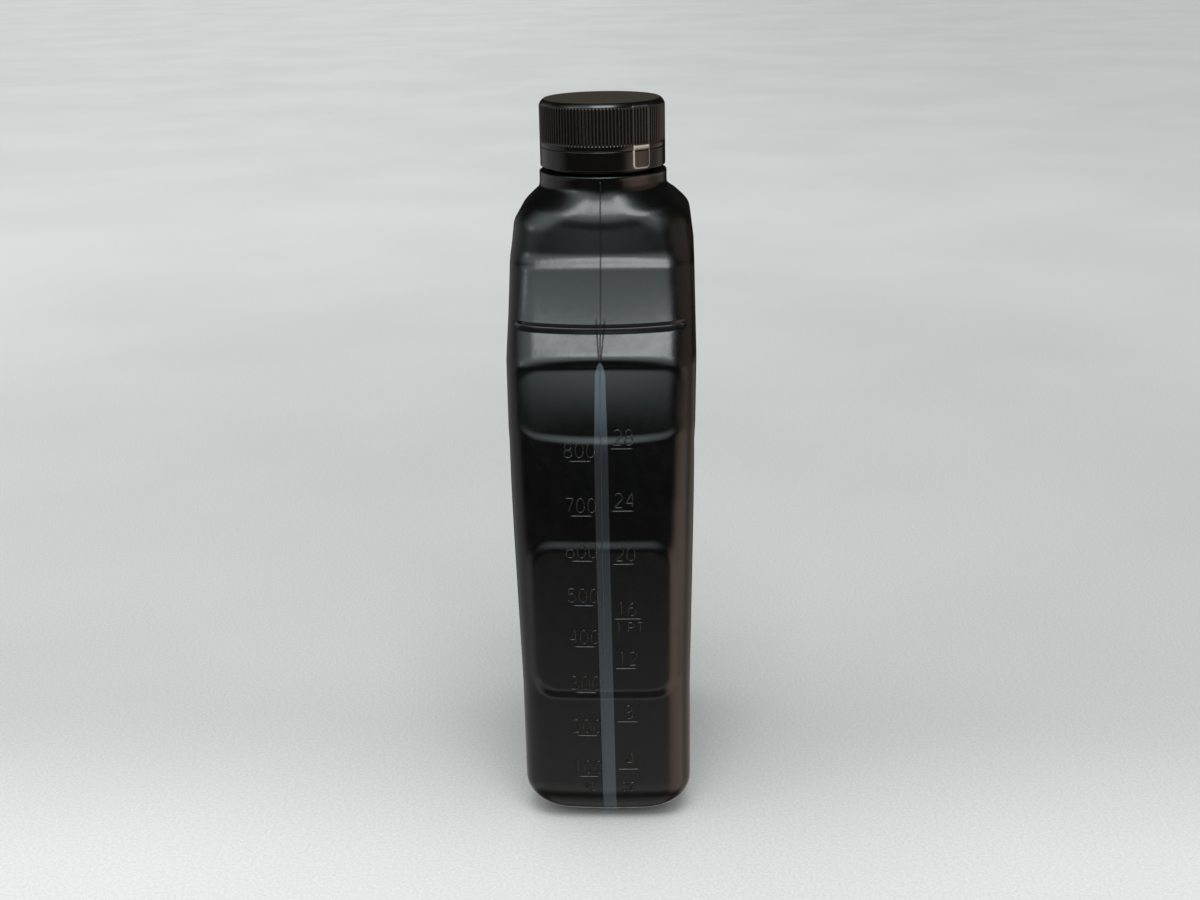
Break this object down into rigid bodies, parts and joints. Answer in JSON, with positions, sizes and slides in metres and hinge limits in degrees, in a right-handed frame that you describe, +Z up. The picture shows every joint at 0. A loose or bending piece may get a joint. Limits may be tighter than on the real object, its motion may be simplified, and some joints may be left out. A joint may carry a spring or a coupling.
{
  "type": "oil bottle",
  "caption": "Flat-sided blow-moulded oil bottle with finger grips, a level scale beside a view stripe, and a ribbed screw cap over a tamper ring.",
  "frame": {"origin": "centre of the bottle's footprint, on the plane it stands on", "axes": "+Z up along the neck, +X out of the narrow side with the level scale, Y across the depth"},
  "size_m": [0.1148, 0.062, 0.2403],
  "materials": {
    "bottle_plastic": "satin black polyethylene with a fine moulded texture",
    "cap_plastic": "glossy black polypropylene",
    "liner_foam": "matt white foam"
  },
  "bodies": {
    "bottle": {"bottle_body": "bottle_plastic", "tamper_ring": "cap_plastic"},
    "liner": {"cap_liner": "liner_foam"},
    "cap": {"cap": "cap_plastic"}
  },
  "joints": [
    {"name": "cap_rise", "type": "slide", "parent": "bottle", "child": "liner", "axis": [0, 0, 1], "range_m": [0, 0.00635]},
    {"name": "cap_turn", "type": "hinge", "parent": "liner", "child": "cap", "pos_m": [0, 0, 0.2384], "axis": [0, 0, 1], "range_deg": [0, 540]}
  ],
  "couplings": [
    {"joint": "cap_rise", "follows": "cap_turn", "m_per_rad": 0.00067375}
  ]
}
